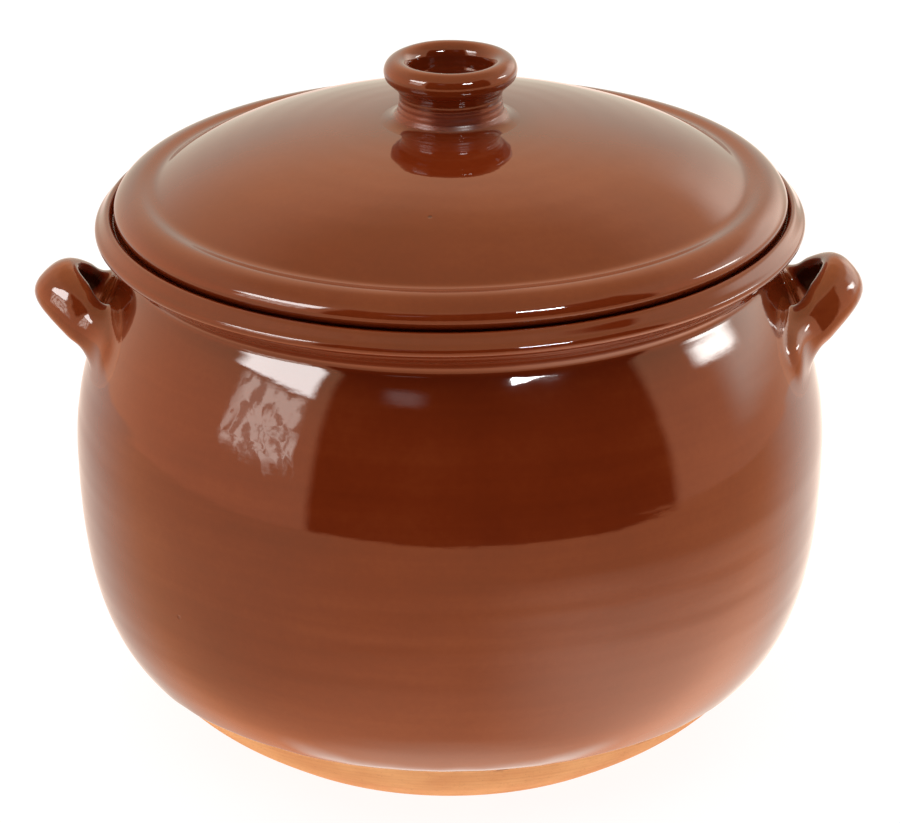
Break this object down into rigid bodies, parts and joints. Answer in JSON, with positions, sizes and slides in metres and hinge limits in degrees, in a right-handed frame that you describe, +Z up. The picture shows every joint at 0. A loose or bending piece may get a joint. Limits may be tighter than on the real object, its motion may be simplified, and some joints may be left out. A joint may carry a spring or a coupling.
{
  "type": "stew pot",
  "caption": "Round-bellied glazed terracotta stew pot with strap handles on the shoulder, a bare clay foot and a loose domed lid with a hollow spool knob that lifts off.",
  "frame": {"origin": "middle of the flat base that the pot stands on", "axes": "+Z up along the pot's turning axis, X through the two handles, -Y towards the front"},
  "size_m": [0.2816, 0.259, 0.2346],
  "materials": {
    "pot_glaze": "glossy honey-brown glaze over red clay, bare clay foot",
    "lid_glaze": "glossy honey-brown glaze over red clay"
  },
  "bodies": {
    "pot": {"pot_body": "pot_glaze", "handle_left": "pot_glaze", "handle_right": "pot_glaze"},
    "lid": {"lid": "lid_glaze", "lid_knob": "lid_glaze"}
  },
  "joints": [
    {"name": "lid_lift", "type": "slide", "parent": "pot", "child": "lid", "axis": [0, 0, 1], "range_m": [0, 0.15]}
  ]
}
